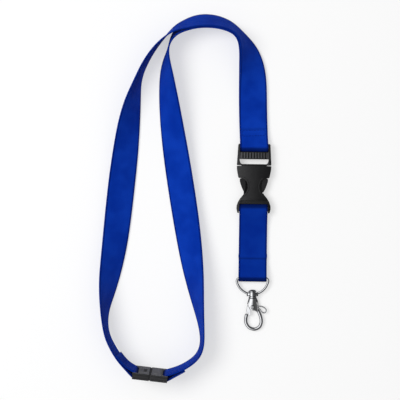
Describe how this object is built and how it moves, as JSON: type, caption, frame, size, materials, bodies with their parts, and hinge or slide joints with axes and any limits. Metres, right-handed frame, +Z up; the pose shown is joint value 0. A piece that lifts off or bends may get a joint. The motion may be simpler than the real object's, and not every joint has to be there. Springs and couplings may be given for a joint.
{
  "type": "lanyard badge holder",
  "caption": "Flat webbing neck lanyard with breakaway clasp, side-release buckle, short badge strap, D-ring and swivel trigger hook.",
  "frame": {"origin": "centre of the bounding box in plan, at its lowest level, where the lanyard lies on a table", "axes": "+Z up from the table it lies on, +Y from the hook towards the fold at the far end, +X from the clasp side towards the buckle side"},
  "size_m": [0.122, 0.2604, 0.0242],
  "materials": {
    "webbing": "flat woven polyester webbing with a dense edge",
    "thread": "polyester sewing thread",
    "plastic": "moulded satin black acetal",
    "chrome": "bright nickel-chrome plate"
  },
  "bodies": {
    "neck": {"neck_strap_outer": "webbing", "neck_strap_inner": "webbing", "neck_join_stitching": "thread", "tail_stitching_socket": "thread", "breakaway_socket": "plastic", "buckle_plug_frame": "plastic"},
    "breakaway_half": {"breakaway_plug": "plastic", "strap_end_plug": "webbing", "tail_stitching_plug": "thread"},
    "arm_left": {"buckle_arm_left": "plastic"},
    "arm_right": {"buckle_arm_right": "plastic"},
    "badge_half": {"buckle_socket": "plastic", "badge_strap": "webbing", "badge_strap_stitching": "thread"},
    "ring": {"d_ring": "chrome"},
    "hook": {"swivel_stem": "chrome", "hook_body": "chrome", "gate_pin": "chrome", "gate_spring": "chrome"},
    "gate": {"hook_gate": "chrome"}
  },
  "joints": [
    {"name": "breakaway_slide", "type": "slide", "parent": "neck", "child": "breakaway_half", "axis": [0.9936, -0.1132, 0], "range_m": [0, 0.0075], "deforming": ["strap_end_plug"]},
    {"name": "buckle_slide", "type": "slide", "parent": "neck", "child": "badge_half", "axis": [-0.014, -0.9999, 0], "range_m": [0, 0.024], "deforming": ["buckle_arm_left", "buckle_arm_right"]},
    {"name": "arm_left_squeeze", "type": "hinge", "parent": "neck", "child": "arm_left", "pos_m": [0.04111, 0.01877, 0.00339], "axis": [0, 0, 1], "range_deg": [0, 9.5], "stiffness_Nm_per_rad": 0.05},
    {"name": "arm_right_squeeze", "type": "hinge", "parent": "neck", "child": "arm_right", "pos_m": [0.05631, 0.01855, 0.00339], "axis": [0, 0, -1], "range_deg": [0, 9.5], "stiffness_Nm_per_rad": 0.05},
    {"name": "ring_swing", "type": "hinge", "parent": "badge_half", "child": "ring", "pos_m": [0.04763, -0.05823, 0.00319], "axis": [-1, 0, 0], "range_deg": [-75, 75]},
    {"name": "hook_swivel", "type": "hinge", "parent": "ring", "child": "hook", "pos_m": [0.04763, -0.06962, 0.00277], "axis": [-0.0523, 0.998, 0.0366], "continuous": true},
    {"name": "gate_open", "type": "hinge", "parent": "hook", "child": "gate", "pos_m": [0.0477, -0.07863, 0.00244], "axis": [0, -0.0366, 0.9993], "range_deg": [0, 22], "stiffness_Nm_per_rad": 0.01}
  ],
  "couplings": [
    {"joint": "arm_right_squeeze", "follows": "arm_left_squeeze", "ratio": 1}
  ]
}
